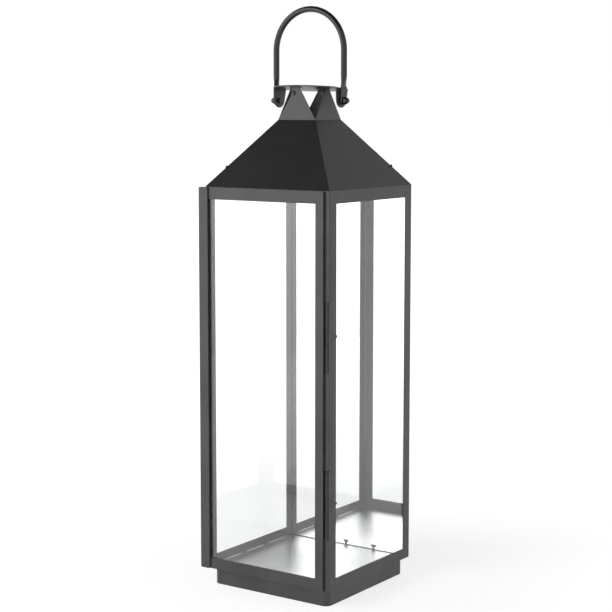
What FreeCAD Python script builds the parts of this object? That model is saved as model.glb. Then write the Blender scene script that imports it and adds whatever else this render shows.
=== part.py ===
import FreeCAD
import Part
import math
import os

# Tall square candle lantern with a swinging door, a mirror back wall, a hipped roof, four upright vent
# flaps, an oval cap with two ears and a folding bail handle. All sizes are in millimetres.
# The origin is on the ground at the middle of the body. +Z is up and the door faces -Y.

# Body frame
BODY_SIDE = 240.0
BODY_HEIGHT = 624.0
FRAME_SHEET = 1.5
POST_FLANGE = 19.0
POST_GROOVE_OFFSET = 6.2
POST_GROOVE_WIDTH = 0.6
POST_GROOVE_DEPTH = 0.3
POST_DIMPLE_OFFSET = 13.0
POST_DIMPLE_DROP = 8.5
POST_DIMPLE_RADIUS = 2.4
TOP_RAIL_HEIGHT = 20.2
TOP_RAIL_LIP = 8.0
BOTTOM_RAIL_HEIGHT = 17.7
RAIL_SLOT_HEIGHT = 1.0
RAIL_SLOT_LENGTH = 48.0
RAIL_SLOT_PITCH = 62.0
RAIL_SLOT_COUNT = 3
RAIL_SLOT_SHIFT = 9.0

# Plinth and floor
PLINTH_HEIGHT = 27.5
PLINTH_INSET = 7.5
PLINTH_CORNER_RADIUS = 11.0
PLINTH_SHEET = 1.2
PLINTH_RIM = 10.0
FLOOR_THICKNESS = 1.5

# Panes
PANE_THICKNESS = 2.0
MIRROR_THICKNESS = 2.0
MIRROR_BACKING = 0.5
PANE_GAP = 0.1
PANE_END_GAP = 0.3
PANE_TOP_GAP = 2.5
CLIP_THICKNESS = 0.6
CLIP_WIDTH = 10.0
CLIP_DROP = 10.0
CLIP_SPREAD = 120.0
FOOT_CLIP_HEIGHT = 8.5
FOOT_CLIP_HEAD_WIDTH = 9.0
FOOT_CLIP_HEAD_HEIGHT = 3.2
FOOT_CLIP_STEM_WIDTH = 3.6
FOOT_CLIP_THICKNESS = 0.8
FOOT_CLIP_PITCH = 56.0
FOOT_CLIP_COUNT = 3
FOOT_CLIP_SHIFT = -5.0
FOOT_STRIP_HEIGHT = 1.2

# Roof and vent flaps
ROOF_HEIGHT = 105.8
ROOF_SHEET = 1.2
COLLAR_SIDE = 72.4
HIP_RIVET_RADIUS = 2.2
HIP_RIVET_RISE = 31.0
FLAP_SHEET = 1.2
FLAP_RISE = 51.0
FLAP_TIP_WIDTH = 8.0
FLAP_LEAN_DEG = 2.0

# Cap with ears
CAP_SHEET = 1.5
CAP_EAR_SPAN = 119.5
CAP_WIDTH_AT_EARS = 34.0
CAP_WIDTH_AT_MIDDLE = 90.0
CAP_TILT_DEG = 5.6
CAP_BEND_RADIUS = 2.4
EAR_TIP_RADIUS = 14.2
EAR_TIP_RISE = 3.0
CAP_RISE_OVER_PIVOT = 20.6
PIVOT_RISE_OVER_COLLAR = 30.5
BRACKET_WIDTH = 12.0
BRACKET_SHEET = 1.2
BRACKET_DROP = 14.0
BRACKET_FOOT = 12.0
BRACKET_OFFSET = 6.0
FLAP_RIVET_DROP = 7.3
RIVET_HEAD_RADIUS = 3.7
RIVET_HEAD_HEIGHT = 1.9
RIVET_SHANK_RADIUS = 1.75
RIVET_TAIL_RADIUS = 2.5
RIVET_TAIL_HEIGHT = 0.8

# Bail handle and its pivots
ROD_DIAMETER = 9.8
HANDLE_LEG_SPREAD = 131.6
HANDLE_REACH = 150.4
HANDLE_FLAT_THICKNESS = 2.6
HANDLE_FLAT_WIDTH = 15.0
HANDLE_FLAT_LENGTH = 22.0
HANDLE_TAPER_LENGTH = 17.0
HANDLE_FLAT_OFFSET = -0.8
PIVOT_BOLT_RADIUS = 2.5
PIVOT_HEAD_RADIUS = 4.2
PIVOT_HEAD_HEIGHT = 2.4
PIVOT_RUNNING_GAP = 0.06
PIVOT_SIDE_GAP = 0.3
PIVOT_WASHER_RADIUS = 4.8
PIVOT_NUT_ACROSS_FLATS = 10.0
PIVOT_NUT_HEIGHT = 4.2
PIVOT_NUT_DOME_RADIUS = 4.6

# Door
DOOR_END_GAP = 0.5
DOOR_REAR_GAP = 0.4
DOOR_SHEET = 1.2
DOOR_GLASS_THICKNESS = 2.0
DOOR_RIGHT_INSET = 9.2
DOOR_TOP_RAIL_HEIGHT = 19.3
DOOR_BOTTOM_RAIL_HEIGHT = 18.2
HINGE_STILE_WIDTH = 14.6
PULL_STILE_WIDTH = 17.6
PULL_STILE_THICKNESS = 3.0
PULL_STILE_OVERHANG = 8.1
PULL_STILE_CORNER_RADIUS = 2.0
PULL_RIVET_INSET = 7.5
PULL_RIVET_HEAD_RADIUS = 2.6
PULL_RIVET_HEAD_HEIGHT = 0.7
RAIL_END_INSET = 1.3
DOOR_GLASS_OVERLAP = 5.0
DOOR_GLASS_GAP = 1.5
DOOR_CLIP_WIDTH = 12.0
DOOR_CLIP_REACH = 9.0
DOOR_CLIP_SPREAD = 130.0
DOOR_SIDE_CLIP_INSET = 56.0

# Door hinges
HINGE_OFFSET_X = -0.7
HINGE_OFFSET_Y = 3.2
HINGE_BARREL_RADIUS = 3.0
HINGE_PIN_RADIUS = 1.5
HINGE_RUNNING_GAP = 0.05
HINGE_AXIAL_GAP = 0.4
HINGE_LENGTH = 106.0
HINGE_CENTRE_KNUCKLE = 24.0
HINGE_CENTRES_Z = (165.5, 427.5)
HINGE_LEAF_SHEET = 1.2
HINGE_WING_REACH = 20.0
HINGE_WING_TIP_RADIUS = 2.0
HINGE_FRONT_WING_REACH = 5.0
HINGE_MOVING_SHEET = 1.0
HINGE_PIN_HEAD_RADIUS = 2.4
HINGE_PIN_HEAD_HEIGHT = 0.8
HINGE_RIVET_RADIUS = 0.8
HINGE_RIVET_HEAD_RADIUS = 1.3
HINGE_RIVET_HEAD_HEIGHT = 0.7
HINGE_RIVET_FIRST = 5.0
HINGE_RIVET_PITCH = 12.0
HINGE_RIVET_COUNT = 3

# Door magnet
MAGNET_WIDTH = 12.0
MAGNET_THICKNESS = 4.0
MAGNET_HEIGHT = 24.0
MAGNET_DROP = 4.0

# Levels and planes worked out from the sizes above
HALF = BODY_SIDE / 2
INNER = HALF - FRAME_SHEET
BODY_BOTTOM = PLINTH_HEIGHT
BODY_TOP = BODY_BOTTOM + BODY_HEIGHT
FLOOR_TOP = BODY_BOTTOM + FLOOR_THICKNESS
TOP_LIP_UNDERSIDE = BODY_TOP - FRAME_SHEET
COLLAR_HALF = COLLAR_SIDE / 2
COLLAR_Z = BODY_TOP + ROOF_HEIGHT
ROOF_SLOPE = math.atan2(ROOF_HEIGHT, HALF - COLLAR_HALF)
PIVOT_Z = COLLAR_Z + PIVOT_RISE_OVER_COLLAR
EAR_INNER = CAP_EAR_SPAN / 2
EAR_OUTER = EAR_INNER + CAP_SHEET
PANE_OUTER = INNER - PANE_GAP
PANE_INNER = PANE_OUTER - PANE_THICKNESS
BACKING_REAR = INNER - PANE_GAP
MIRROR_BACK = BACKING_REAR - MIRROR_BACKING
MIRROR_FRONT = MIRROR_BACK - MIRROR_THICKNESS
DOOR_BOTTOM = BODY_BOTTOM + DOOR_END_GAP
DOOR_TOP = BODY_TOP - DOOR_END_GAP
DOOR_REAR = -HALF - DOOR_REAR_GAP
DOOR_GLASS_REAR = DOOR_REAR - CLIP_THICKNESS
DOOR_GLASS_FRONT = DOOR_GLASS_REAR - DOOR_GLASS_THICKNESS
DOOR_FRONT = DOOR_GLASS_FRONT - DOOR_SHEET
PULL_FRONT = DOOR_FRONT - PULL_STILE_THICKNESS
PULL_LEFT = -HALF - PULL_STILE_OVERHANG
PULL_RIGHT = PULL_LEFT + PULL_STILE_WIDTH
DOOR_RIGHT = HALF - DOOR_RIGHT_INSET
STILE_LEFT = DOOR_RIGHT - HINGE_STILE_WIDTH
HINGE_X = HALF + HINGE_OFFSET_X
HINGE_Y = -HALF - HINGE_OFFSET_Y
HANDLE_LEG_X = HANDLE_LEG_SPREAD / 2
HANDLE_FLAT_OUTER = HANDLE_LEG_X - HANDLE_FLAT_OFFSET
HANDLE_FLAT_INNER = HANDLE_FLAT_OUTER - HANDLE_FLAT_THICKNESS

X_AXIS = FreeCAD.Vector(1, 0, 0)
Y_AXIS = FreeCAD.Vector(0, 1, 0)
Z_AXIS = FreeCAD.Vector(0, 0, 1)
ORIGIN = FreeCAD.Vector(0, 0, 0)
PIVOT = FreeCAD.Vector(0, 0, PIVOT_Z)


def block(x_low, x_high, y_low, y_high, z_low, z_high):
    """Return a box between two corners."""
    corner = FreeCAD.Vector(x_low, y_low, z_low)
    return Part.makeBox(x_high - x_low, y_high - y_low, z_high - z_low, corner)


def prism(points, direction):
    """Return the solid swept by a flat polygon along a direction."""
    wire = Part.makePolygon(points + [points[0]])
    return Part.Face(wire).extrude(direction)


def cylinder(radius, start, end):
    """Return a cylinder between two points."""
    return Part.makeCylinder(radius, (end - start).Length, start, end - start)


def turned(shape, degrees):
    """Return a copy turned about the vertical axis of the lantern."""
    copy = shape.copy()
    copy.rotate(ORIGIN, Z_AXIS, degrees)
    return copy


def mirrored(shape):
    """Return a copy mirrored from the right side to the left side."""
    return shape.mirror(ORIGIN, X_AXIS)


def dome_head(radius, height, centre, outward):
    """Return a domed rivet head that sits on a flat face."""
    ball_radius = (radius * radius + height * height) / (2 * height)
    ball_drop = ball_radius - height
    base_latitude = math.degrees(math.asin(ball_drop / ball_radius))
    return Part.makeSphere(ball_radius, centre - outward * ball_drop, outward, base_latitude, 90, 360)


def rivet(face_point, outward, grip, head_radius=RIVET_HEAD_RADIUS, head_height=RIVET_HEAD_HEIGHT):
    """Return a rivet: domed head on the face, shank through the grip, flat tail behind it."""
    head = dome_head(head_radius, head_height, face_point, outward)
    back = face_point - outward * grip
    shank = cylinder(RIVET_SHANK_RADIUS, back, face_point)
    tail = cylinder(RIVET_TAIL_RADIUS, back - outward * RIVET_TAIL_HEIGHT, back)
    return head.fuse(shank).fuse(tail).removeSplitter()


def rounded_square(half, radius, z_low, z_high):
    """Return an upright square prism with rounded vertical corners."""
    solid = block(-half, half, -half, half, z_low, z_high)
    upright = [edge for edge in solid.Edges if abs(edge.BoundBox.ZLength - (z_high - z_low)) < 0.001]
    return solid.makeFillet(radius, upright)


# Plinth and floor

def make_plinth():
    outer_half = HALF - PLINTH_INSET
    inner_half = outer_half - PLINTH_SHEET
    inner_radius = PLINTH_CORNER_RADIUS - PLINTH_SHEET
    outer = rounded_square(outer_half, PLINTH_CORNER_RADIUS, 0, PLINTH_HEIGHT)
    hollow = rounded_square(inner_half, inner_radius, PLINTH_SHEET, PLINTH_HEIGHT - PLINTH_SHEET)
    mouth_half = outer_half - PLINTH_RIM
    rim_low = PLINTH_HEIGHT - PLINTH_SHEET
    mouth = block(-mouth_half, mouth_half, -mouth_half, mouth_half, rim_low, PLINTH_HEIGHT)
    return outer.cut(hollow).cut(mouth)


def make_floor_plate():
    return block(-INNER, INNER, -INNER, INNER, BODY_BOTTOM, FLOOR_TOP)


# Posts and rails

def is_back_right_corner(edge):
    """Tell whether an edge is the upright one at the body's back right corner."""
    bounds = edge.BoundBox
    return abs(bounds.XMin - HALF) < 0.001 and abs(bounds.YMin - HALF) < 0.001


def make_plain_post():
    """Return the angle section of the back right corner, with the outside of its fold rounded."""
    outer = block(HALF - POST_FLANGE, HALF, HALF - POST_FLANGE, HALF, BODY_BOTTOM, BODY_TOP)
    outer = outer.makeFillet(FRAME_SHEET, [edge for edge in outer.Edges if is_back_right_corner(edge)])
    hollow = block(HALF - POST_FLANGE, INNER, HALF - POST_FLANGE, INNER, BODY_BOTTOM, BODY_TOP)
    return outer.cut(hollow)


def make_front_right_post():
    """Return the front right post, with the pressed line and the weld dimple on its side flange."""
    post = turned(make_plain_post(), -90)
    line_y = -HALF + POST_GROOVE_OFFSET
    line_bottom = BODY_BOTTOM + BOTTOM_RAIL_HEIGHT
    line_top = BODY_TOP - TOP_RAIL_HEIGHT
    groove = block(HALF - POST_GROOVE_DEPTH, HALF, line_y, line_y + POST_GROOVE_WIDTH, line_bottom, line_top)
    ball_radius = POST_DIMPLE_RADIUS * 2
    ball_rise = math.sqrt(ball_radius ** 2 - POST_DIMPLE_RADIUS ** 2)
    dimple_y = -HALF + POST_DIMPLE_OFFSET
    dimple_centre = FreeCAD.Vector(HALF + ball_rise, dimple_y, BODY_TOP - POST_DIMPLE_DROP)
    dimple = Part.makeSphere(ball_radius, dimple_centre)
    return post.cut(groove).cut(dimple)


def make_top_rail():
    """Return the back top rail: a web between the posts with a lip that turns in under the roof."""
    end = HALF - POST_FLANGE
    web = block(-end, end, INNER, HALF, BODY_TOP - TOP_RAIL_HEIGHT, BODY_TOP)
    lip = block(-end, end, INNER - TOP_RAIL_LIP, INNER, TOP_LIP_UNDERSIDE, BODY_TOP)
    return web.fuse(lip).removeSplitter()


def make_bottom_rail():
    """Return the back bottom rail: a flat web between the posts, in front of the floor plate's edge."""
    end = HALF - POST_FLANGE
    return block(-end, end, INNER, HALF, BODY_BOTTOM, BODY_BOTTOM + BOTTOM_RAIL_HEIGHT)


def make_left_bottom_rail():
    """Return the left bottom rail, with the row of slots just above the floor plate."""
    rail = turned(make_bottom_rail(), 90)
    first = RAIL_SLOT_SHIFT - RAIL_SLOT_PITCH * (RAIL_SLOT_COUNT - 1) / 2
    for number in range(RAIL_SLOT_COUNT):
        middle = first + number * RAIL_SLOT_PITCH
        low = middle - RAIL_SLOT_LENGTH / 2
        high = middle + RAIL_SLOT_LENGTH / 2
        slot = block(-HALF, -INNER, low, high, FLOOR_TOP, FLOOR_TOP + RAIL_SLOT_HEIGHT)
        rail = rail.cut(slot)
    return rail


# Panes, mirror and their clips

def make_right_pane():
    top = TOP_LIP_UNDERSIDE - PANE_TOP_GAP
    return block(PANE_INNER, PANE_OUTER, -INNER + PANE_END_GAP, MIRROR_FRONT - PANE_END_GAP, FLOOR_TOP, top)


def back_sheet(front, rear):
    """Return a sheet that fills the back wall between two planes."""
    half = INNER - PANE_END_GAP
    top = TOP_LIP_UNDERSIDE - PANE_TOP_GAP
    return block(-half, half, front, rear, FLOOR_TOP, top)


def hanging_clips(pane_face):
    """Return two tabs that hang from the back top rail's lip and hold a pane by its inner face."""
    clips = []
    for middle in (-CLIP_SPREAD / 2, CLIP_SPREAD / 2):
        low = middle - CLIP_WIDTH / 2
        high = middle + CLIP_WIDTH / 2
        bottom = TOP_LIP_UNDERSIDE - CLIP_DROP
        clips.append(block(low, high, pane_face - CLIP_THICKNESS, pane_face, bottom, TOP_LIP_UNDERSIDE))
    return clips


def make_mirror_foot_clips():
    """Return the strip at the foot of the mirror with the T-headed tabs that stand up from it."""
    first = FOOT_CLIP_SHIFT - FOOT_CLIP_PITCH * (FOOT_CLIP_COUNT - 1) / 2
    front = MIRROR_FRONT - FOOT_CLIP_THICKNESS
    top = FLOOR_TOP + FOOT_CLIP_HEIGHT
    strip_half = PANE_INNER - PANE_END_GAP
    strip_top = FLOOR_TOP + FOOT_STRIP_HEIGHT
    strip = block(-strip_half, strip_half, front, MIRROR_FRONT, FLOOR_TOP, strip_top)
    for number in range(FOOT_CLIP_COUNT):
        middle = first + number * FOOT_CLIP_PITCH
        stem_half = FOOT_CLIP_STEM_WIDTH / 2
        head_half = FOOT_CLIP_HEAD_WIDTH / 2
        stem = block(middle - stem_half, middle + stem_half, front, MIRROR_FRONT, FLOOR_TOP, top)
        head_low = top - FOOT_CLIP_HEAD_HEIGHT
        head = block(middle - head_half, middle + head_half, front, MIRROR_FRONT, head_low, top)
        strip = strip.fuse(stem).fuse(head)
    return strip.removeSplitter()


# Roof, vent flaps, cap and brackets

def pyramid(base_half, base_z, top_half, top_z):
    """Return a square frustum."""
    low = [FreeCAD.Vector(sx * base_half, sy * base_half, base_z) for sx, sy in CORNER_SIGNS]
    high = [FreeCAD.Vector(sx * top_half, sy * top_half, top_z) for sx, sy in CORNER_SIGNS]
    low_wire = Part.makePolygon(low + [low[0]])
    high_wire = Part.makePolygon(high + [high[0]])
    return Part.makeLoft([low_wire, high_wire], True, True)


CORNER_SIGNS = ((-1, -1), (1, -1), (1, 1), (-1, 1))


def front_wedge(reach, z_low, z_high):
    """Return the quarter of space in front of the lantern's axis, between its two diagonals."""
    corner_left = FreeCAD.Vector(-reach, -reach, z_low)
    corner_right = FreeCAD.Vector(reach, -reach, z_low)
    axis_point = FreeCAD.Vector(0, 0, z_low)
    return prism([corner_left, corner_right, axis_point], Z_AXIS * (z_high - z_low))


def make_front_roof_panel():
    slant = ROOF_SHEET / math.sin(ROOF_SLOPE)
    outer = pyramid(HALF, BODY_TOP, COLLAR_HALF, COLLAR_Z)
    inner = pyramid(HALF - slant, BODY_TOP, COLLAR_HALF - slant, COLLAR_Z)
    return outer.cut(inner).common(front_wedge(HALF, BODY_TOP, COLLAR_Z))


def make_hip_rivets():
    """Return four small round heads, one on each hip of the roof."""
    rise_share = HIP_RIVET_RISE / ROOF_HEIGHT
    reach = HALF - (HALF - COLLAR_HALF) * rise_share
    centre = FreeCAD.Vector(reach, -reach, BODY_TOP + HIP_RIVET_RISE)
    roof = pyramid(HALF, BODY_TOP, COLLAR_HALF, COLLAR_Z)
    head = Part.makeSphere(HIP_RIVET_RADIUS, centre).cut(roof)
    return [turned(head, 90 * number) for number in range(4)]


def cap_frame(shape):
    """Lean a shape that was made level back by the cap's tilt about the handle's pivot line."""
    leaned = shape.copy()
    leaned.rotate(PIVOT, X_AXIS, -CAP_TILT_DEG)
    return leaned


def space_over_cap_underside():
    """Return the space above the underside of the cap, which trims what stands below the cap."""
    low = PIVOT_Z + CAP_RISE_OVER_PIVOT - CAP_SHEET
    return cap_frame(block(-HALF, HALF, -HALF, HALF, low, low + HALF))


def flap_frame(shape):
    """Lean a shape that was made upright on the front collar edge inwards by the flap's lean."""
    leaned = shape.copy()
    leaned.rotate(FreeCAD.Vector(0, -COLLAR_HALF, COLLAR_Z), X_AXIS, -FLAP_LEAN_DEG)
    return leaned


def make_flap(side_turn):
    """Return one vent flap: a tall triangle with a narrow tip, cut off under the cap."""
    tip_half = FLAP_TIP_WIDTH / 2
    edge_rate = (COLLAR_HALF - tip_half) / FLAP_RISE
    blank_rise = FLAP_RISE + tip_half / edge_rate * 0.5
    blank_half = COLLAR_HALF - edge_rate * blank_rise
    corners = [
        FreeCAD.Vector(-COLLAR_HALF, -COLLAR_HALF, COLLAR_Z),
        FreeCAD.Vector(COLLAR_HALF, -COLLAR_HALF, COLLAR_Z),
        FreeCAD.Vector(blank_half, -COLLAR_HALF, COLLAR_Z + blank_rise),
        FreeCAD.Vector(-blank_half, -COLLAR_HALF, COLLAR_Z + blank_rise),
    ]
    blank = flap_frame(prism(corners, Y_AXIS * FLAP_SHEET))
    blank = blank.common(front_wedge(HALF, COLLAR_Z, COLLAR_Z + 2 * FLAP_RISE))
    flap = turned(blank, side_turn).cut(space_over_cap_underside())
    if side_turn in BRACKET_TURNS:
        flap = flap.cut(make_flap_rivet(side_turn))
    return flap


BRACKET_TURNS = (0, 180)


def flap_rivet_point():
    """Return the middle of the rivet's seat on the front flap, before the flap leans."""
    underside = PIVOT_Z + CAP_RISE_OVER_PIVOT - CAP_SHEET
    return FreeCAD.Vector(-BRACKET_OFFSET, -COLLAR_HALF, underside - FLAP_RIVET_DROP)


def make_flap_rivet(side_turn):
    grip = FLAP_SHEET + BRACKET_SHEET
    return turned(flap_frame(rivet(flap_rivet_point(), -Y_AXIS, grip)), side_turn)


def cap_rivet_point(side_turn):
    """Return the middle of the rivet's seat on the cap, before the cap leans."""
    reach = COLLAR_HALF - FLAP_SHEET - BRACKET_FOOT * 0.6
    top = PIVOT_Z + CAP_RISE_OVER_PIVOT
    point = Part.Vertex(-BRACKET_OFFSET, -reach, top)
    return turned(point, side_turn).Point


def make_cap_rivet(side_turn):
    return cap_frame(rivet(cap_rivet_point(side_turn), Z_AXIS, CAP_SHEET + BRACKET_SHEET))


def make_cap_bracket(side_turn):
    """Return an angle bracket: one leg behind a flap, one leg under the cap."""
    low_x = -BRACKET_OFFSET - BRACKET_WIDTH / 2
    high_x = -BRACKET_OFFSET + BRACKET_WIDTH / 2
    underside = PIVOT_Z + CAP_RISE_OVER_PIVOT - CAP_SHEET
    leg_front = -COLLAR_HALF + FLAP_SHEET
    leg_top = underside + BRACKET_DROP
    leg = block(low_x, high_x, leg_front, leg_front + BRACKET_SHEET, underside - BRACKET_DROP, leg_top)
    leg = turned(flap_frame(leg), side_turn).cut(space_over_cap_underside())
    foot = block(low_x, high_x, leg_front, leg_front + BRACKET_FOOT, underside - BRACKET_SHEET, underside)
    foot = cap_frame(turned(foot, side_turn))
    outside_leg = block(-HALF, HALF, -HALF, leg_front, COLLAR_Z, leg_top)
    foot = foot.cut(turned(flap_frame(outside_leg), side_turn))
    bracket = leg.fuse(foot).removeSplitter()
    return bracket.cut(make_flap_rivet(side_turn)).cut(make_cap_rivet(side_turn))


def circle_tangent(from_y, from_z, radius):
    """Return the point where the line from a corner touches a circle about the origin on the +Y side."""
    distance = math.hypot(from_y, from_z)
    angle = math.atan2(from_z, from_y) - math.acos(radius / distance)
    return radius * math.cos(angle), radius * math.sin(angle)


def make_right_ear():
    """Return the right ear: wide at the cap, narrowing to a round end about the pivot."""
    top_half = CAP_WIDTH_AT_EARS / 2
    top_z = PIVOT_Z + CAP_RISE_OVER_PIVOT
    tip_z = PIVOT_Z + EAR_TIP_RISE
    touch_y, touch_rise = circle_tangent(top_half, top_z - tip_z, EAR_TIP_RADIUS)
    corners = [
        FreeCAD.Vector(EAR_INNER, -top_half, top_z),
        FreeCAD.Vector(EAR_INNER, top_half, top_z),
        FreeCAD.Vector(EAR_INNER, touch_y, tip_z + touch_rise),
        FreeCAD.Vector(EAR_INNER, -touch_y, tip_z + touch_rise),
    ]
    taper = prism(corners, X_AXIS * CAP_SHEET)
    start = FreeCAD.Vector(EAR_INNER, 0, tip_z)
    round_end = cylinder(EAR_TIP_RADIUS, start, start + X_AXIS * CAP_SHEET)
    return taper.fuse(round_end).removeSplitter()


def make_cap():
    """Return the cap: an oval plate, two ears bent down from it, and the holes for bolts and rivets."""
    ear_half = CAP_WIDTH_AT_EARS / 2
    middle_half = CAP_WIDTH_AT_MIDDLE / 2
    low = PIVOT_Z + CAP_RISE_OVER_PIVOT - CAP_SHEET
    front_left = FreeCAD.Vector(-EAR_OUTER, -ear_half, low)
    front_right = FreeCAD.Vector(EAR_OUTER, -ear_half, low)
    back_right = FreeCAD.Vector(EAR_OUTER, ear_half, low)
    back_left = FreeCAD.Vector(-EAR_OUTER, ear_half, low)
    front_arc = Part.Arc(front_left, FreeCAD.Vector(0, -middle_half, low), front_right).toShape()
    right_edge = Part.LineSegment(front_right, back_right).toShape()
    back_arc = Part.Arc(back_right, FreeCAD.Vector(0, middle_half, low), back_left).toShape()
    left_edge = Part.LineSegment(back_left, front_left).toShape()
    outline = Part.Wire([front_arc, right_edge, back_arc, left_edge])
    plate = Part.Face(outline).extrude(Z_AXIS * CAP_SHEET)
    right_ear = make_right_ear()
    cap = plate.fuse(right_ear).fuse(mirrored(right_ear)).removeSplitter()
    bends = [edge for edge in cap.Edges if is_cap_bend(edge, low + CAP_SHEET)]
    cap = cap.makeFillet(CAP_BEND_RADIUS, bends)
    reach = X_AXIS * HALF
    cap = cap_frame(cap).cut(cylinder(PIVOT_BOLT_RADIUS, PIVOT - reach, PIVOT + reach))
    for side_turn in BRACKET_TURNS:
        cap = cap.cut(make_cap_rivet(side_turn))
    return cap


def is_cap_bend(edge, top):
    """Tell whether an edge is the outer top edge over one of the ears."""
    bounds = edge.BoundBox
    at_ear = abs(abs(bounds.XMin) - EAR_OUTER) < 0.01 and bounds.XLength < 0.01
    return at_ear and abs(bounds.ZMin - top) < 0.01 and bounds.ZLength < 0.01


# Bail handle and its pivot hardware

def pivot_point(distance):
    """Return the point on the pivot line at a distance to the right of the middle."""
    return FreeCAD.Vector(distance, 0, PIVOT_Z)


def make_right_pivot_bolt():
    """Return the bolt: round head inside the ear, shank through ear, washer, handle and nut."""
    shank_end = HANDLE_FLAT_OUTER + PIVOT_SIDE_GAP + PIVOT_NUT_HEIGHT
    head = cylinder(PIVOT_HEAD_RADIUS, pivot_point(EAR_INNER - PIVOT_HEAD_HEIGHT), pivot_point(EAR_INNER))
    shank = cylinder(PIVOT_BOLT_RADIUS, pivot_point(EAR_INNER), pivot_point(shank_end))
    return head.fuse(shank).removeSplitter()


def make_right_pivot_washer():
    end = HANDLE_FLAT_INNER - PIVOT_SIDE_GAP
    washer = cylinder(PIVOT_WASHER_RADIUS, pivot_point(EAR_OUTER), pivot_point(end))
    return washer.cut(cylinder(PIVOT_BOLT_RADIUS, pivot_point(EAR_OUTER), pivot_point(end)))


def make_right_pivot_nut():
    """Return the domed nut that closes the end of the bolt."""
    start = HANDLE_FLAT_OUTER + PIVOT_SIDE_GAP
    corner_radius = PIVOT_NUT_ACROSS_FLATS / math.sqrt(3)
    corners = []
    for number in range(6):
        angle = math.radians(60 * number + 30)
        corner_y = corner_radius * math.cos(angle)
        corners.append(FreeCAD.Vector(start, corner_y, PIVOT_Z + corner_radius * math.sin(angle)))
    hexagon = prism(corners, X_AXIS * PIVOT_NUT_HEIGHT)
    dome = Part.makeSphere(PIVOT_NUT_DOME_RADIUS, pivot_point(start + PIVOT_NUT_HEIGHT), X_AXIS, 0, 90, 360)
    bore = cylinder(PIVOT_BOLT_RADIUS, pivot_point(start), pivot_point(start + PIVOT_NUT_HEIGHT))
    return hexagon.fuse(dome).removeSplitter().cut(bore)


def handle_section(rise_share):
    """Return the oval outline of the handle's right leg at a share of the way up its taper."""
    blend = rise_share * rise_share * (3 - 2 * rise_share)
    rod_radius = ROD_DIAMETER / 2
    half_x = HANDLE_FLAT_THICKNESS / 2 * (1 - blend) + rod_radius * blend
    half_y = HANDLE_FLAT_WIDTH / 2 * (1 - blend) + rod_radius * blend
    flat_x = (HANDLE_FLAT_INNER + HANDLE_FLAT_OUTER) / 2
    level = PIVOT_Z + HANDLE_FLAT_LENGTH + HANDLE_TAPER_LENGTH * rise_share
    centre = FreeCAD.Vector(flat_x * (1 - blend) + HANDLE_LEG_X * blend, 0, level)
    oval = Part.Ellipse(centre, half_y, half_x).toShape()
    oval.rotate(centre, Z_AXIS, 90)
    return Part.Wire([oval])


def make_bail_handle():
    """Return the handle: a half-round arch, two straight legs and two flattened pivot ends."""
    rod_radius = ROD_DIAMETER / 2
    arch_z = PIVOT_Z + HANDLE_REACH - HANDLE_LEG_X - rod_radius
    rod_z = PIVOT_Z + HANDLE_FLAT_LENGTH + HANDLE_TAPER_LENGTH
    ring = Part.makeCircle(rod_radius, FreeCAD.Vector(HANDLE_LEG_X, 0, arch_z), Z_AXIS)
    section = Part.Face(Part.Wire([ring]))
    arch = section.revolve(FreeCAD.Vector(0, 0, arch_z), Y_AXIS, -180)
    leg_start = FreeCAD.Vector(HANDLE_LEG_X, 0, rod_z)
    leg = cylinder(rod_radius, leg_start, FreeCAD.Vector(HANDLE_LEG_X, 0, arch_z))
    taper = Part.makeLoft([handle_section(share) for share in (0, 0.25, 0.5, 0.75, 1)], True, False)
    flat_half = HANDLE_FLAT_WIDTH / 2
    flat_top = PIVOT_Z + HANDLE_FLAT_LENGTH
    flat = block(HANDLE_FLAT_INNER, HANDLE_FLAT_OUTER, -flat_half, flat_half, PIVOT_Z, flat_top)
    round_end = cylinder(flat_half, pivot_point(HANDLE_FLAT_INNER), pivot_point(HANDLE_FLAT_OUTER))
    side = leg.fuse(taper).fuse(flat).fuse(round_end)
    handle = arch.fuse(side).fuse(mirrored(side)).removeSplitter()
    hole_radius = PIVOT_BOLT_RADIUS + PIVOT_RUNNING_GAP
    return handle.cut(cylinder(hole_radius, pivot_point(-HALF), pivot_point(HALF)))


# Door

def make_door_rail(height, z_edge, upward):
    """Return a door rail: a front web with a lip along its outer edge, running in behind the pull stile."""
    left = PULL_LEFT + RAIL_END_INSET
    z_far = z_edge - upward * height
    z_lip = z_edge - upward * DOOR_SHEET
    web = block(left, STILE_LEFT, DOOR_FRONT, DOOR_GLASS_FRONT, min(z_edge, z_far), max(z_edge, z_far))
    lip = block(left, STILE_LEFT, DOOR_FRONT, DOOR_REAR, min(z_edge, z_lip), max(z_edge, z_lip))
    rail = web.fuse(lip).removeSplitter()
    for pull_rivet in make_pull_rivets():
        rail = rail.cut(pull_rivet)
    return rail


def make_hinge_stile():
    """Return the hinge stile: a front web, a lip along its outer edge and one across each end."""
    outer = block(STILE_LEFT, DOOR_RIGHT, DOOR_FRONT, DOOR_REAR, DOOR_BOTTOM, DOOR_TOP)
    hollow_right = DOOR_RIGHT - DOOR_SHEET
    hollow_low = DOOR_BOTTOM + DOOR_SHEET
    hollow_high = DOOR_TOP - DOOR_SHEET
    hollow = block(STILE_LEFT, hollow_right, DOOR_GLASS_FRONT, DOOR_REAR, hollow_low, hollow_high)
    stile = outer.cut(hollow)
    for leaf_rivet in make_all_leaf_rivets():
        stile = stile.cut(leaf_rivet)
    return stile


def make_pull_stile():
    """Return the pull stile: a flat bar on the rail ends that overhangs the left wall as a finger pull."""
    bar = block(PULL_LEFT, PULL_RIGHT, PULL_FRONT, DOOR_FRONT, DOOR_BOTTOM, DOOR_TOP)
    corners = [edge for edge in bar.Edges if abs(edge.BoundBox.YLength - PULL_STILE_THICKNESS) < 0.001]
    bar = bar.makeFillet(PULL_STILE_CORNER_RADIUS, corners)
    for pull_rivet in make_pull_rivets():
        bar = bar.cut(pull_rivet)
    return bar


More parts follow.
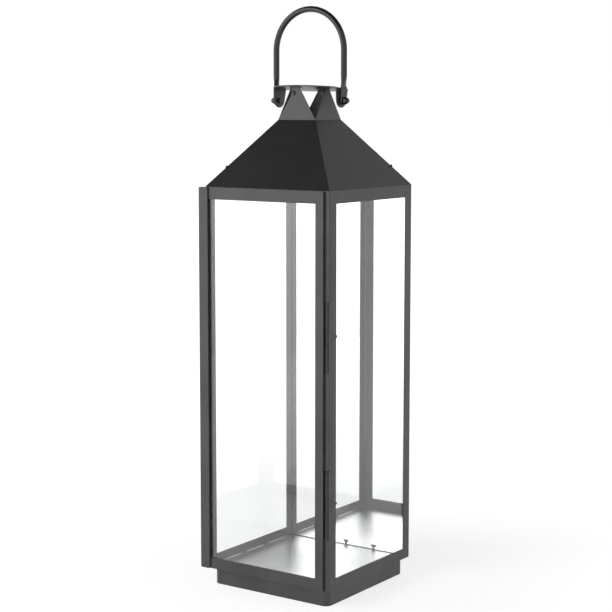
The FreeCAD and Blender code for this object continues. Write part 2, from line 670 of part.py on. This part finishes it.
def make_pull_rivets():
    middle = (PULL_LEFT + PULL_RIGHT) / 2
    grip = PULL_STILE_THICKNESS + DOOR_SHEET
    rivets = []
    for level in (DOOR_BOTTOM + PULL_RIVET_INSET, DOOR_TOP - PULL_RIVET_INSET):
        face_point = FreeCAD.Vector(middle, PULL_FRONT, level)
        rivets.append(rivet(face_point, -Y_AXIS, grip, PULL_RIVET_HEAD_RADIUS, PULL_RIVET_HEAD_HEIGHT))
    return rivets


def make_door_glass():
    left = PULL_RIGHT - DOOR_GLASS_OVERLAP
    right = DOOR_RIGHT - DOOR_SHEET - DOOR_GLASS_GAP
    low = DOOR_BOTTOM + DOOR_SHEET + PANE_END_GAP
    high = DOOR_TOP - DOOR_SHEET - PANE_END_GAP
    return block(left, right, DOOR_GLASS_FRONT, DOOR_GLASS_REAR, low, high)


def make_door_clips():
    """Return the tabs welded to the lips of the door frame that hold its glass from behind."""
    lip_top = DOOR_TOP - DOOR_SHEET
    lip_bottom = DOOR_BOTTOM + DOOR_SHEET
    lip_right = DOOR_RIGHT - DOOR_SHEET
    middle_x = (PULL_RIGHT + STILE_LEFT) / 2
    middle_z = (DOOR_BOTTOM + DOOR_TOP) / 2
    side_clip_rise = (DOOR_TOP - DOOR_BOTTOM) / 2 - DOOR_SIDE_CLIP_INSET
    half_width = DOOR_CLIP_WIDTH / 2
    clips = []
    for side in (-1, 1):
        low_x = middle_x + side * DOOR_CLIP_SPREAD / 2 - half_width
        high_x = low_x + DOOR_CLIP_WIDTH
        top_clip_low = lip_top - DOOR_CLIP_REACH
        bottom_clip_high = lip_bottom + DOOR_CLIP_REACH
        clips.append(block(low_x, high_x, DOOR_GLASS_REAR, DOOR_REAR, top_clip_low, lip_top))
        clips.append(block(low_x, high_x, DOOR_GLASS_REAR, DOOR_REAR, lip_bottom, bottom_clip_high))
        low_z = middle_z + side * side_clip_rise - half_width
        high_z = low_z + DOOR_CLIP_WIDTH
        low_x = lip_right - DOOR_CLIP_REACH
        clips.append(block(low_x, lip_right, DOOR_GLASS_REAR, DOOR_REAR, low_z, high_z))
    return clips


# Door hinges

def hinge_point(level):
    """Return the point on the door's hinge line at a height."""
    return FreeCAD.Vector(HINGE_X, HINGE_Y, level)


def make_fixed_leaf(centre_z):
    """Return the fixed leaf: centre knuckle, a triangular wing on the side wall and one on the front."""
    half = HINGE_CENTRE_KNUCKLE / 2
    low = centre_z - half
    high = centre_z + half
    knuckle = cylinder(HINGE_BARREL_RADIUS, hinge_point(low), hinge_point(high))
    corner_y = -HALF - HINGE_LEAF_SHEET
    tip_y = -HALF + HINGE_WING_REACH - HINGE_WING_TIP_RADIUS
    wing_corners = [
        FreeCAD.Vector(HALF, corner_y, low),
        FreeCAD.Vector(HALF, tip_y, centre_z - HINGE_WING_TIP_RADIUS),
        FreeCAD.Vector(HALF, tip_y, centre_z + HINGE_WING_TIP_RADIUS),
        FreeCAD.Vector(HALF, corner_y, high),
    ]
    wing = prism(wing_corners, X_AXIS * HINGE_LEAF_SHEET)
    tip_start = FreeCAD.Vector(HALF, tip_y, centre_z)
    wing_tip = cylinder(HINGE_WING_TIP_RADIUS, tip_start, tip_start + X_AXIS * HINGE_LEAF_SHEET)
    front_corners = [
        FreeCAD.Vector(HALF, corner_y, low),
        FreeCAD.Vector(HALF - HINGE_FRONT_WING_REACH, corner_y, centre_z),
        FreeCAD.Vector(HALF, corner_y, high),
    ]
    front_wing = prism(front_corners, Y_AXIS * HINGE_LEAF_SHEET)
    leaf = wing.fuse(wing_tip).fuse(front_wing).fuse(knuckle).removeSplitter()
    return leaf.cut(cylinder(HINGE_PIN_RADIUS, hinge_point(low), hinge_point(high)))


def make_hinge_pin(centre_z):
    """Return the pin: a plain rod with a flat button at each end of the barrel."""
    low = centre_z - HINGE_LENGTH / 2 - HINGE_AXIAL_GAP
    high = centre_z + HINGE_LENGTH / 2 + HINGE_AXIAL_GAP
    rod = cylinder(HINGE_PIN_RADIUS, hinge_point(low), hinge_point(high))
    foot_low = low - HINGE_PIN_HEAD_HEIGHT
    head_high = high + HINGE_PIN_HEAD_HEIGHT
    foot = cylinder(HINGE_PIN_HEAD_RADIUS, hinge_point(foot_low), hinge_point(low))
    head = cylinder(HINGE_PIN_HEAD_RADIUS, hinge_point(high), hinge_point(head_high))
    return rod.fuse(foot).fuse(head).removeSplitter()


def moving_knuckle_spans(centre_z):
    """Return the lower and upper height of the two knuckles that turn with the door."""
    half = HINGE_LENGTH / 2
    inner = HINGE_CENTRE_KNUCKLE / 2 + HINGE_AXIAL_GAP
    return [(centre_z - half, centre_z - inner), (centre_z + inner, centre_z + half)]


def make_moving_leaf(centre_z):
    """Return the moving leaf: a flange on the door's edge and two arms that end in the long knuckles."""
    half = HINGE_LENGTH / 2
    flange_right = DOOR_RIGHT + HINGE_MOVING_SHEET
    flange = block(DOOR_RIGHT, flange_right, DOOR_FRONT, DOOR_REAR, centre_z - half, centre_z + half)
    leaf = flange
    for low, high in moving_knuckle_spans(centre_z):
        arm = block(DOOR_RIGHT, HINGE_X, DOOR_REAR - HINGE_MOVING_SHEET, DOOR_REAR, low, high)
        knuckle = cylinder(HINGE_BARREL_RADIUS, hinge_point(low), hinge_point(high))
        leaf = leaf.fuse(arm).fuse(knuckle)
        leaf = leaf.cut(cylinder(HINGE_PIN_RADIUS + HINGE_RUNNING_GAP, hinge_point(low), hinge_point(high)))
    leaf = leaf.removeSplitter()
    for leaf_rivet in make_leaf_rivets(centre_z):
        leaf = leaf.cut(leaf_rivet)
    return leaf


def make_leaf_rivets(centre_z):
    """Return the small rivets that fix one moving leaf to the lip of the hinge stile."""
    middle_y = (DOOR_FRONT + DOOR_REAR) / 2
    face = DOOR_RIGHT + HINGE_MOVING_SHEET
    back = DOOR_RIGHT - DOOR_SHEET
    tail = back - HINGE_RIVET_HEAD_HEIGHT
    rivets = []
    for low, high in moving_knuckle_spans(centre_z):
        for number in range(HINGE_RIVET_COUNT):
            level = high - HINGE_RIVET_FIRST - number * HINGE_RIVET_PITCH
            face_point = FreeCAD.Vector(face, middle_y, level)
            back_point = FreeCAD.Vector(back, middle_y, level)
            tail_point = FreeCAD.Vector(tail, middle_y, level)
            head = dome_head(HINGE_RIVET_HEAD_RADIUS, HINGE_RIVET_HEAD_HEIGHT, face_point, X_AXIS)
            shank = cylinder(HINGE_RIVET_RADIUS, back_point, face_point)
            foot = cylinder(HINGE_RIVET_HEAD_RADIUS, tail_point, back_point)
            rivets.append(head.fuse(shank).fuse(foot).removeSplitter())
    return rivets


def make_all_leaf_rivets():
    rivets = []
    for centre_z in HINGE_CENTRES_Z:
        rivets += make_leaf_rivets(centre_z)
    return rivets


def make_door_magnet():
    """Return the magnet block that sits behind the front left post, under the top rail's level."""
    left = -PANE_INNER + PANE_END_GAP
    top = BODY_TOP - MAGNET_DROP
    return block(left, left + MAGNET_WIDTH, -INNER, -INNER + MAGNET_THICKNESS, top - MAGNET_HEIGHT, top)


def make_all_pieces():
    """Return every node's name with its solid or group of solids."""
    back_post = make_plain_post()
    back_top_rail = make_top_rail()
    back_bottom_rail = make_bottom_rail()
    right_pane = make_right_pane()
    pane_clips = hanging_clips(PANE_INNER)
    roof_panel = make_front_roof_panel()
    right_bolt = make_right_pivot_bolt()
    right_washer = make_right_pivot_washer()
    right_nut = make_right_pivot_nut()
    pieces = {
        "plinth": make_plinth(),
        "floor_plate": make_floor_plate(),
        "post_front_right": make_front_right_post(),
        "post_front_left": mirrored(make_front_right_post()),
        "post_back_right": back_post,
        "post_back_left": turned(back_post, 90),
        "top_rail_back": back_top_rail,
        "top_rail_left": turned(back_top_rail, 90),
        "top_rail_front": turned(back_top_rail, 180),
        "top_rail_right": turned(back_top_rail, 270),
        "bottom_rail_back": back_bottom_rail,
        "bottom_rail_left": make_left_bottom_rail(),
        "bottom_rail_front": turned(back_bottom_rail, 180),
        "bottom_rail_right": turned(back_bottom_rail, 270),
        "pane_right": right_pane,
        "pane_left": mirrored(right_pane),
        "mirror": back_sheet(MIRROR_FRONT, MIRROR_BACK),
        "mirror_backing": back_sheet(MIRROR_BACK, BACKING_REAR),
        "pane_clips_right": Part.makeCompound([turned(clip, 270) for clip in pane_clips]),
        "pane_clips_left": Part.makeCompound([turned(clip, 90) for clip in pane_clips]),
        "mirror_top_clips": Part.makeCompound(hanging_clips(MIRROR_FRONT)),
        "mirror_foot_clips": make_mirror_foot_clips(),
        "roof_front": roof_panel,
        "roof_right": turned(roof_panel, 90),
        "roof_back": turned(roof_panel, 180),
        "roof_left": turned(roof_panel, 270),
        "roof_hip_rivets": Part.makeCompound(make_hip_rivets()),
        "vent_flap_front": make_flap(0),
        "vent_flap_right": make_flap(90),
        "vent_flap_back": make_flap(180),
        "vent_flap_left": make_flap(270),
        "cap": make_cap(),
        "cap_brackets": Part.makeCompound([make_cap_bracket(side_turn) for side_turn in BRACKET_TURNS]),
        "flap_rivets": Part.makeCompound([make_flap_rivet(side_turn) for side_turn in BRACKET_TURNS]),
        "cap_rivets": Part.makeCompound([make_cap_rivet(side_turn) for side_turn in BRACKET_TURNS]),
        "pivot_bolts": Part.makeCompound([right_bolt, mirrored(right_bolt)]),
        "pivot_washers": Part.makeCompound([right_washer, mirrored(right_washer)]),
        "pivot_nuts": Part.makeCompound([right_nut, mirrored(right_nut)]),
        "bail_handle": make_bail_handle(),
        "door_top_rail": make_door_rail(DOOR_TOP_RAIL_HEIGHT, DOOR_TOP, 1),
        "door_bottom_rail": make_door_rail(DOOR_BOTTOM_RAIL_HEIGHT, DOOR_BOTTOM, -1),
        "door_hinge_stile": make_hinge_stile(),
        "door_pull_stile": make_pull_stile(),
        "door_glass": make_door_glass(),
        "door_glass_clips": Part.makeCompound(make_door_clips()),
        "pull_rivets": Part.makeCompound(make_pull_rivets()),
        "hinge_leaf_rivets": Part.makeCompound(make_all_leaf_rivets()),
        "door_magnet": make_door_magnet(),
    }
    for name, centre_z in zip(("lower", "upper"), HINGE_CENTRES_Z):
        pieces["hinge_fixed_leaf_" + name] = make_fixed_leaf(centre_z)
        pieces["hinge_moving_leaf_" + name] = make_moving_leaf(centre_z)
        pieces["hinge_pin_" + name] = make_hinge_pin(centre_z)
    return pieces


os.makedirs("parts", exist_ok=True)
for node, shape in make_all_pieces().items():
    shape.exportStep("parts/" + node + ".step")
    print(node, len(shape.Solids), "solids", round(shape.Volume, 1), "mm3", "valid", shape.isValid())
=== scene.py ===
import math

import bpy
from mathutils import Euler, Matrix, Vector

# Looks of a tall black metal and glass candle lantern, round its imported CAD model. Lengths are in metres
# and angles in degrees. Every CAD node stays, with a material of its own and softened sheet edges.

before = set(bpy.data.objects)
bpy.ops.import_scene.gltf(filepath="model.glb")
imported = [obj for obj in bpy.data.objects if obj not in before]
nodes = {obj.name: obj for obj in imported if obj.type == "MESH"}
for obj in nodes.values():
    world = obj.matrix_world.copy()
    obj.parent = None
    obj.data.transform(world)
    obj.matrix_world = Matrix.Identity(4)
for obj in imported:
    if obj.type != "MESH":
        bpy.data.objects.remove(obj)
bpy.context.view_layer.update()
scene = bpy.context.scene

# Camera, fitted to the edges and corners of the body in the photograph.
CAMERA_PLACE = (1.4658, -2.1165, 0.7866)
CAMERA_AZIMUTH = 35.0
CAMERA_PITCH = 6.26
CAMERA_LENS = 93.62
CAMERA_SHIFT = (0.0074, -0.049)
CAMERA_NEAREST = 0.05
CAMERA_FURTHEST = 100.0

# Softbox in front and to the left, seen by the front faces, the door's glass and the mirror.
SOFTBOX_PLACE = (-1.25, -1.95, 0.95)
SOFTBOX_TARGET = (0, 0, 0.45)
SOFTBOX_SIZE = (1.7, 2.1)
SOFTBOX_HIGH = 4.2
SOFTBOX_LOW = 1.2

# World: white for the camera, and for all other rays nearly white round the horizon and dark overhead.
SKY_SEEN = 1.0
SKY_STRENGTH = 0.9
SKY_BRIGHT_BELOW = 0.42
SKY_DARK_ABOVE = 0.76
SKY_DARK_SHARE = 0.07

# Floor: emission seen by camera, glossy and transmission rays, near the lantern and away from it.
FLOOR_SIZE = (60, 60)
FLOOR_COLOUR = 0.55
FLOOR_GLOW_NEAR = 0.72
FLOOR_GLOW_FAR = 1.0
FLOOR_NEAR = 0.3
FLOOR_FAR = 1.3

# Shares of a noise's height between which its values and colours change: over its middle, or only over
# its upper part, for patches on a surface that is otherwise clean.
MIDDLE = (0.3, 0.7)
PATCHES = (0.45, 0.75)
COLOUR_BAND = (0.35, 0.65)

# Paint. A noise is (scale per metre, detail). A bump's height is in metres, a bump is (strength, height).
PAINT_TONE = (14.0, 4.0)
PAINT_GRAIN = (2600.0, 2.0)
PAINT_PEEL = (420.0, 3.0)
PAINT_DARK_SHARE = 0.82
PAINT_LIGHT_SHARE = 1.18
PAINT_SMOOTHER = 0.04
PAINT_ROUGHER = 0.06
PAINT_PEEL_HEIGHT = 0.00004
PAINT_GRAIN_HEIGHT = 0.00002

# Bare zinc-coated sheet, rolled along Y.
ZINC_TONE = (9.0, 4.0)
ZINC_ROLLED = (1.0, 3.0)
ZINC_ROLLED_STRETCH = (900.0, 14.0, 900.0)
ZINC_SPANGLE_SCALE = 130.0
ZINC_DARK = (0.60, 0.60, 0.605)
ZINC_LIGHT = (0.72, 0.72, 0.725)
ZINC_ROUGHNESS = (0.33, 0.44)
ZINC_SPANGLE_BUMP = (0.05, 0.00004)
ZINC_ROLLED_BUMP = (0.10, 0.00002)

# Turned steel, with fine rings across Z.
TURNED = (1.0, 2.0)
TURNED_STRETCH = (60.0, 60.0, 4000.0)
TURNED_DARK_SHARE = 0.85
TURNED_SMOOTHER = 0.05
TURNED_ROUGHER = 0.08
TURNED_BUMP = (0.1, 0.00002)

# Clear glass and mirror.
HAZE = (1.0, 4.0)
HAZE_STRETCH = (5.0, 5.0, 3.0)
GLASS_DARK = (0.975, 0.985, 0.982)
GLASS_LIGHT = (0.992, 0.996, 0.995)
GLASS_ROUGHNESS = (0.0, 0.018)
GLASS_IOR = 1.5
GLASS_SHADOW = (0.93, 0.94, 0.94, 1.0)
DUST = (7.0, 5.0)
MIRROR_DARK = (0.95, 0.955, 0.955)
MIRROR_LIGHT = (0.975, 0.98, 0.98)
MIRROR_ROUGHNESS = (0.0, 0.015)

# Softened edges of the sheet metal.
WELD_DISTANCE = 0.000001
FLAT_ANGLE = 0.5
EDGE_WIDTH = 0.00035
EDGE_SEGMENTS = 2
EDGE_ANGLE = 40


def new_material(name):
    """A material with a Principled shader; returns it with its tree and shader."""
    material = bpy.data.materials.new(name)
    material.use_nodes = True
    tree = material.node_tree
    return material, tree, tree.nodes["Principled BSDF"]


def place(tree):
    """The piece's own coordinates, which are the CAD frame in metres."""
    coordinates = tree.nodes.new("ShaderNodeTexCoord")
    return coordinates.outputs["Object"]


def stretched(tree, source, scale):
    mapping = tree.nodes.new("ShaderNodeMapping")
    mapping.inputs["Scale"].default_value = scale
    tree.links.new(source, mapping.inputs["Vector"])
    return mapping.outputs["Vector"]


def noise(tree, source, scale_and_detail):
    node = tree.nodes.new("ShaderNodeTexNoise")
    node.inputs["Scale"].default_value, node.inputs["Detail"].default_value = scale_and_detail
    tree.links.new(source, node.inputs["Vector"])
    return node.outputs["Fac"]


def ranged(tree, source, limits, band=MIDDLE):
    """Maps the band of the source's values to the limits, and holds it there outside the band."""
    node = tree.nodes.new("ShaderNodeMapRange")
    node.inputs["From Min"].default_value, node.inputs["From Max"].default_value = band
    node.inputs["To Min"].default_value, node.inputs["To Max"].default_value = limits
    tree.links.new(source, node.inputs["Value"])
    return node.outputs["Result"]


def two_colours(tree, source, low, high):
    ramp = tree.nodes.new("ShaderNodeValToRGB")
    for element, position, colour in zip(ramp.color_ramp.elements, COLOUR_BAND, (low, high)):
        element.position = position
        element.color = (*colour, 1.0)
    tree.links.new(source, ramp.inputs["Fac"])
    return ramp.outputs["Color"]


def shaded(colour, share):
    return tuple(value * share for value in colour)


def calculated(tree, operation, first, second):
    """The result of a Math node on two sockets."""
    node = tree.nodes.new("ShaderNodeMath")
    node.operation = operation
    tree.links.new(first, node.inputs[0])
    tree.links.new(second, node.inputs[1])
    return node.outputs[0]


def bump(tree, heights, shader):
    """Adds bumps from (height, strength, distance) one after another."""
    normal = None
    for height, strength, distance in heights:
        node = tree.nodes.new("ShaderNodeBump")
        node.inputs["Strength"].default_value = strength
        node.inputs["Distance"].default_value = distance
        tree.links.new(height, node.inputs["Height"])
        if normal is not None:
            tree.links.new(normal, node.inputs["Normal"])
        normal = node.outputs["Normal"]
    tree.links.new(normal, shader.inputs["Normal"])


def paint(name, colour, rough, grain=0.35, peel=0.3):
    """Powder coat: fine grain, slight orange peel, and a little unevenness of tone and gloss."""
    material, tree, shader = new_material(name)
    at = place(tree)
    broad = noise(tree, at, PAINT_TONE)
    fine = noise(tree, at, PAINT_GRAIN)
    wave = noise(tree, at, PAINT_PEEL)
    tone = two_colours(tree, broad, shaded(colour, PAINT_DARK_SHARE), shaded(colour, PAINT_LIGHT_SHARE))
    gloss = ranged(tree, wave, (rough - PAINT_SMOOTHER, rough + PAINT_ROUGHER))
    tree.links.new(tone, shader.inputs["Base Color"])
    tree.links.new(gloss, shader.inputs["Roughness"])
    bump(tree, [(wave, peel, PAINT_PEEL_HEIGHT), (fine, grain, PAINT_GRAIN_HEIGHT)], shader)
    return material


def galvanised(name):
    """Bare zinc-coated sheet: rolled grain and faint spangle."""
    material, tree, shader = new_material(name)
    at = place(tree)
    spangle = tree.nodes.new("ShaderNodeTexVoronoi")
    spangle.inputs["Scale"].default_value = ZINC_SPANGLE_SCALE
    tree.links.new(at, spangle.inputs["Vector"])
    rolled = noise(tree, stretched(tree, at, ZINC_ROLLED_STRETCH), ZINC_ROLLED)
    broad = noise(tree, at, ZINC_TONE)
    tree.links.new(two_colours(tree, broad, ZINC_DARK, ZINC_LIGHT), shader.inputs["Base Color"])
    shader.inputs["Metallic"].default_value = 1.0
    tree.links.new(ranged(tree, rolled, ZINC_ROUGHNESS), shader.inputs["Roughness"])
    bump(tree, [(spangle.outputs["Distance"], *ZINC_SPANGLE_BUMP), (rolled, *ZINC_ROLLED_BUMP)], shader)
    return material


def turned_steel(name, colour, rough):
    """Plain steel with the fine rings that turning leaves."""
    material, tree, shader = new_material(name)
    rings = noise(tree, stretched(tree, place(tree), TURNED_STRETCH), TURNED)
    tone = two_colours(tree, rings, shaded(colour, TURNED_DARK_SHARE), colour)
    gloss = ranged(tree, rings, (rough - TURNED_SMOOTHER, rough + TURNED_ROUGHER))
    tree.links.new(tone, shader.inputs["Base Color"])
    shader.inputs["Metallic"].default_value = 1.0
    tree.links.new(gloss, shader.inputs["Roughness"])
    bump(tree, [(rings, *TURNED_BUMP)], shader)
    return material


def clear_glass(name):
    """Clear float glass with a faint wiped haze. Light passes straight through it for shadows."""
    material, tree, shader = new_material(name)
    haze = noise(tree, stretched(tree, place(tree), HAZE_STRETCH), HAZE)
    tree.links.new(two_colours(tree, haze, GLASS_DARK, GLASS_LIGHT), shader.inputs["Base Color"])
    tree.links.new(ranged(tree, haze, GLASS_ROUGHNESS, PATCHES), shader.inputs["Roughness"])
    shader.inputs["Transmission Weight"].default_value = 1.0
    shader.inputs["IOR"].default_value = GLASS_IOR
    clear = tree.nodes.new("ShaderNodeBsdfTransparent")
    clear.inputs["Color"].default_value = GLASS_SHADOW
    path = tree.nodes.new("ShaderNodeLightPath")
    mix = tree.nodes.new("ShaderNodeMixShader")
    tree.links.new(path.outputs["Is Shadow Ray"], mix.inputs["Fac"])
    tree.links.new(shader.outputs["BSDF"], mix.inputs[1])
    tree.links.new(clear.outputs["BSDF"], mix.inputs[2])
    tree.links.new(mix.outputs["Shader"], tree.nodes["Material Output"].inputs["Surface"])
    return material


def mirror_glass(name):
    """Silvered glass with a trace of dust in its gloss."""
    material, tree, shader = new_material(name)
    dust = noise(tree, place(tree), DUST)
    tree.links.new(two_colours(tree, dust, MIRROR_DARK, MIRROR_LIGHT), shader.inputs["Base Color"])
    shader.inputs["Metallic"].default_value = 1.0
    tree.links.new(ranged(tree, dust, MIRROR_ROUGHNESS, PATCHES), shader.inputs["Roughness"])
    return material


MATERIALS = {
    "frame": paint("frame_paint", (0.060, 0.060, 0.063), 0.40),
    # The roof's paint is the frame's paint made near black: painted shade for the upward-facing roof under
    # the dark overhead light.
    "roof": paint("roof_paint_painted_shade", (0.012, 0.0125, 0.0125), 0.40),
    "fittings": paint("fittings_paint", (0.012, 0.012, 0.0125), 0.33),
    "handle": paint("handle_paint", (0.012, 0.012, 0.0125), 0.24, grain=0.15, peel=0.15),
    "steel": galvanised("bare_steel"),
    "pin": turned_steel("pin_steel", (0.05, 0.05, 0.05), 0.4),
    "glass": clear_glass("clear_glass"),
    "mirror": mirror_glass("mirror_glass"),
    "magnet": paint("magnet_ferrite", (0.03, 0.03, 0.03), 0.6),
}

# Nodes by finish. All others have the frame's.
FINISHES = {
    # The roof gets the near-black copy of the frame's paint, which is painted shade.
    "roof": ("roof_front", "roof_right", "roof_back", "roof_left"),
    "fittings": (
        "pane_clips_right", "pane_clips_left", "mirror_top_clips", "mirror_foot_clips", "roof_hip_rivets",
        "cap_brackets", "flap_rivets", "cap_rivets", "pivot_bolts", "pivot_washers", "pivot_nuts",
        "door_glass_clips", "hinge_leaf_rivets", "hinge_fixed_leaf_lower", "hinge_fixed_leaf_upper",
        "hinge_moving_leaf_lower", "hinge_moving_leaf_upper",
    ),
    "handle": ("bail_handle",),
    "steel": ("floor_plate",),
    "pin": ("hinge_pin_lower", "hinge_pin_upper"),
    "glass": ("pane_right", "pane_left", "door_glass"),
    "mirror": ("mirror",),
    "magnet": ("door_magnet",),
}
FINISH_OF = {node: finish for finish, names in FINISHES.items() for node in names}

SOFTENED_NODES = (
    "post_front_right", "post_front_left", "post_back_right", "post_back_left", "top_rail_back",
    "top_rail_left", "top_rail_front", "top_rail_right", "bottom_rail_back", "bottom_rail_left",
    "bottom_rail_front", "bottom_rail_right", "door_top_rail", "door_bottom_rail", "door_hinge_stile",
    "door_pull_stile", "plinth",
)


def give_finishes():
    for name, node in nodes.items():
        node.data.materials.clear()
        node.data.materials.append(MATERIALS[FINISH_OF.get(name, "frame")])


def soften_edges():
    """Rounds the sheets' edges, once the triangles of each flat face are joined into one face."""
    for name in SOFTENED_NODES:
        weld = nodes[name].modifiers.new("weld", "WELD")
        weld.merge_threshold = WELD_DISTANCE
        flat = nodes[name].modifiers.new("flat", "DECIMATE")
        flat.decimate_type = "DISSOLVE"
        flat.angle_limit = math.radians(FLAT_ANGLE)
        edge = nodes[name].modifiers.new("edge", "BEVEL")
        edge.width = EDGE_WIDTH
        edge.segments = EDGE_SEGMENTS
        edge.limit_method = "ANGLE"
        edge.angle_limit = math.radians(EDGE_ANGLE)


def make_camera():
    data = bpy.data.cameras.new("camera")
    data.lens = CAMERA_LENS
    data.shift_x, data.shift_y = CAMERA_SHIFT
    data.clip_start = CAMERA_NEAREST
    data.clip_end = CAMERA_FURTHEST
    camera = bpy.data.objects.new("camera", data)
    camera.location = CAMERA_PLACE
    camera.rotation_euler = Euler((math.radians(90 - CAMERA_PITCH), 0, math.radians(CAMERA_AZIMUTH)))
    scene.collection.objects.link(camera)
    scene.camera = camera


def make_world():
    world = bpy.data.worlds.new("studio")
    world.use_nodes = True
    scene.world = world
    tree = world.node_tree
    background = tree.nodes["Background"]
    background.inputs["Color"].default_value = (1, 1, 1, 1)
    coordinates = tree.nodes.new("ShaderNodeTexCoord")
    split = tree.nodes.new("ShaderNodeSeparateXYZ")
    tree.links.new(coordinates.outputs["Generated"], split.inputs[0])
    strengths = (SKY_STRENGTH, SKY_STRENGTH * SKY_DARK_SHARE)
    sky = ranged(tree, split.outputs["Z"], strengths, (SKY_BRIGHT_BELOW, SKY_DARK_ABOVE))
    path = tree.nodes.new("ShaderNodeLightPath")
    mix = tree.nodes.new("ShaderNodeMix")
    tree.links.new(path.outputs["Is Camera Ray"], mix.inputs["Factor"])
    tree.links.new(sky, mix.inputs["A"])
    mix.inputs["B"].default_value = SKY_SEEN
    tree.links.new(mix.outputs["Result"], background.inputs["Strength"])


def make_plane(name, size, location, rotation=(0, 0, 0)):
    width, depth = size[0] / 2, size[1] / 2
    mesh = bpy.data.meshes.new(name)
    corners = [(-width, -depth, 0), (width, -depth, 0), (width, depth, 0), (-width, depth, 0)]
    mesh.from_pydata(corners, [], [(0, 1, 2, 3)])
    plane = bpy.data.objects.new(name, mesh)
    plane.location = location
    plane.rotation_euler = rotation
    scene.collection.objects.link(plane)
    return plane


def seen_ray(tree):
    """1 for rays from the camera, or off metal or through glass on their way from it."""
    path = tree.nodes.new("ShaderNodeLightPath")
    bounced = calculated(tree, "MAXIMUM", path.outputs["Is Glossy Ray"], path.outputs["Is Transmission Ray"])
    return calculated(tree, "MAXIMUM", path.outputs["Is Camera Ray"], bounced)


def make_floor():
    """A pale matte floor that takes the lantern's shadow and glows white where it is seen."""
    floor = make_plane("floor", FLOOR_SIZE, (0, 0, 0))
    material, tree, shader = new_material("floor")
    tree.nodes.remove(shader)
    matte = tree.nodes.new("ShaderNodeBsdfDiffuse")
    matte.inputs["Color"].default_value = (FLOOR_COLOUR, FLOOR_COLOUR, FLOOR_COLOUR, 1)
    length = tree.nodes.new("ShaderNodeVectorMath")
    length.operation = "LENGTH"
    tree.links.new(place(tree), length.inputs[0])
    glow = ranged(tree, length.outputs["Value"], (FLOOR_GLOW_NEAR, FLOOR_GLOW_FAR), (FLOOR_NEAR, FLOOR_FAR))
    emission = tree.nodes.new("ShaderNodeEmission")
    tree.links.new(calculated(tree, "MULTIPLY", glow, seen_ray(tree)), emission.inputs["Strength"])
    add = tree.nodes.new("ShaderNodeAddShader")
    tree.links.new(matte.outputs[0], add.inputs[0])
    tree.links.new(emission.outputs[0], add.inputs[1])
    tree.links.new(add.outputs[0], tree.nodes["Material Output"].inputs["Surface"])
    floor.data.materials.append(material)


def make_softbox():
    """A glowing panel, brighter towards its top, that the camera itself doesn't see."""
    centre = Vector(SOFTBOX_PLACE)
    facing = (Vector(SOFTBOX_TARGET) - centre).to_track_quat("Z", "Y").to_euler()
    panel = make_plane("softbox", SOFTBOX_SIZE, centre, facing)
    material, tree, shader = new_material("softbox")
    tree.nodes.remove(shader)
    split = tree.nodes.new("ShaderNodeSeparateXYZ")
    tree.links.new(place(tree), split.inputs[0])
    half = SOFTBOX_SIZE[1] / 2
    glow = ranged(tree, split.outputs["Y"], (SOFTBOX_LOW, SOFTBOX_HIGH), (-half, half))
    emission = tree.nodes.new("ShaderNodeEmission")
    tree.links.new(glow, emission.inputs["Strength"])
    tree.links.new(emission.outputs[0], tree.nodes["Material Output"].inputs["Surface"])
    panel.data.materials.append(material)
    panel.visible_camera = False
    panel.visible_shadow = False


give_finishes()
soften_edges()
make_camera()
make_world()
make_floor()
make_softbox()
scene.view_settings.view_transform = "Standard"
